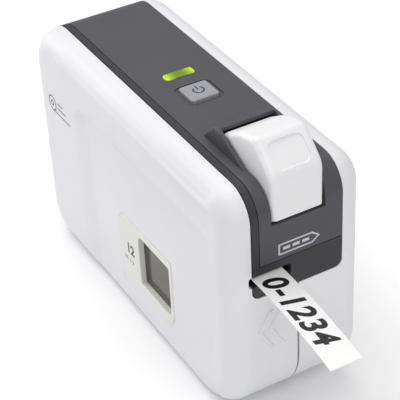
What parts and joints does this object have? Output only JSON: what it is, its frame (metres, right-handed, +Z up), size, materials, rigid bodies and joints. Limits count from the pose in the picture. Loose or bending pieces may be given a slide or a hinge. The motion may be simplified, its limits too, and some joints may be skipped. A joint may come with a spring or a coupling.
{
  "type": "label maker",
  "caption": "Narrow upright desktop label maker with a hinged cassette cover, thumb lever cutter, top power button and lamp, and a printed label leaving the front slot.",
  "frame": {"origin": "middle of the flat underside of the casing", "axes": "+Z up, -Y is the front where the label leaves, -X is the side with the cassette cover"},
  "size_m": [0.055, 0.2017, 0.1123],
  "materials": {
    "white_shell": "fine moulded satin",
    "plate_plastic": "satin",
    "smoked_window": "clear smoked polycarbonate",
    "dark_shell": "fine moulded satin",
    "dark_frame": "moulded satin",
    "button_grey": "satin",
    "lamp_lens": "tinted translucent",
    "lever_white": "satin",
    "inner_plastic": "moulded",
    "black_plastic": "moulded",
    "gear_plastic": "acetal",
    "steel": "ground",
    "plated": "nickel plated",
    "aluminium": "extruded",
    "blade_steel": "ground and honed",
    "rubber": "moulded rubber",
    "label_film": "laminated film",
    "tape_core": "moulded",
    "board": "solder mask",
    "chip": "epoxy",
    "cell_wrap": "printed sleeve",
    "cassette_shell": "moulded",
    "ceramic": "glazed ceramic",
    "flex": "polyimide film"
  },
  "bodies": {
    "chassis": {"right_housing": "white_shell", "cover_hinge_pins": "steel", "cover_catch": "steel", "base_pads": "rubber", "housing_screws": "plated", "main_frame": "dark_frame", "top_panel": "dark_shell", "power_switch": "black_plastic", "button_board": "board", "status_led": "lamp_lens", "light_pipe": "lamp_lens", "lever_pivot_pin": "steel", "lever_spring": "steel", "guide_rod": "steel", "fixed_blade": "blade_steel", "gear_posts": "steel", "gear_plate": "plated", "plate_screws": "plated", "feed_motor": "plated", "heat_sink": "aluminium", "print_head": "ceramic", "head_flex": "flex", "cassette_body": "cassette_shell", "cassette_lid": "cassette_shell", "tape_roll": "label_film", "tape_core": "tape_core", "tape_web": "label_film", "label_strip": "label_film", "main_board": "board", "board_chips": "chip", "rear_board": "board", "usb_port": "plated", "mode_switch": "black_plastic", "battery_tray": "inner_plastic", "battery_cells": "cell_wrap", "battery_contacts": "plated"},
    "cover": {"cassette_cover": "white_shell", "window_plate": "plate_plastic", "cassette_window": "smoked_window"},
    "lever": {"cutter_lever": "lever_white"},
    "cutter": {"blade_carrier": "inner_plastic", "moving_blade": "blade_steel"},
    "button": {"power_button": "button_grey", "switch_plunger": "black_plastic"},
    "mode": {"mode_knob": "black_plastic"},
    "platen": {"platen_shaft": "steel", "platen_roller": "rubber", "platen_gear": "gear_plastic"},
    "stage1": {"stage1_gear": "gear_plastic"},
    "stage2": {"stage2_gear": "gear_plastic"},
    "motor_rotor": {"motor_shaft": "steel", "motor_pinion": "gear_plastic"},
    "ribbon": {"ribbon_gear": "gear_plastic", "ribbon_spindle": "black_plastic"},
    "door": {"battery_door": "white_shell"}
  },
  "joints": [
    {"name": "cover_swing", "type": "hinge", "parent": "chassis", "child": "cover", "pos_m": [-0.018, 0.077, 0.0483], "axis": [0, 0, -1], "range_deg": [0, 95]},
    {"name": "lever_press", "type": "hinge", "parent": "chassis", "child": "lever", "pos_m": [0.0005, -0.0705, 0.0815], "axis": [-1, 0, 0], "range_deg": [0, 12], "stiffness_Nm_per_rad": 0.6, "springref_deg": -6.88, "deforming": ["lever_spring"]},
    {"name": "blade_slide", "type": "slide", "parent": "chassis", "child": "cutter", "axis": [0, 0, -1], "range_m": [0, 0.0039]},
    {"name": "button_press", "type": "slide", "parent": "chassis", "child": "button", "axis": [0, 0, -1], "range_m": [0, 0.0006], "stiffness_N_per_m": 1500, "springref_m": -0.0002},
    {"name": "mode_slide", "type": "slide", "parent": "chassis", "child": "mode", "axis": [1, 0, 0], "range_m": [0, 0.0024]},
    {"name": "door_off", "type": "slide", "parent": "chassis", "child": "door", "axis": [0, 1, 0], "range_m": [0, 0.03]},
    {"name": "motor_spin", "type": "hinge", "parent": "chassis", "child": "motor_rotor", "pos_m": [0.0032, -0.01957, 0.03096], "axis": [1, 0, 0], "continuous": true},
    {"name": "stage1_spin", "type": "hinge", "parent": "chassis", "child": "stage1", "pos_m": [0.0032, -0.03761, 0.03753], "axis": [1, 0, 0], "continuous": true},
    {"name": "stage2_spin", "type": "hinge", "parent": "chassis", "child": "stage2", "pos_m": [0.0032, -0.04363, 0.05407], "axis": [1, 0, 0], "continuous": true},
    {"name": "platen_spin", "type": "hinge", "parent": "chassis", "child": "platen", "pos_m": [0.0032, -0.057, 0.07], "axis": [1, 0, 0], "continuous": true},
    {"name": "ribbon_spin", "type": "hinge", "parent": "chassis", "child": "ribbon", "pos_m": [0.0032, -0.01923, 0.05295], "axis": [1, 0, 0], "continuous": true}
  ],
  "couplings": [
    {"joint": "blade_slide", "follows": "lever_press", "m_per_rad": 0.018144},
    {"joint": "stage1_spin", "follows": "motor_spin", "ratio": -0.33333},
    {"joint": "stage2_spin", "follows": "motor_spin", "ratio": 0.125},
    {"joint": "platen_spin", "follows": "motor_spin", "ratio": -0.2},
    {"joint": "ribbon_spin", "follows": "motor_spin", "ratio": 0.5}
  ]
}
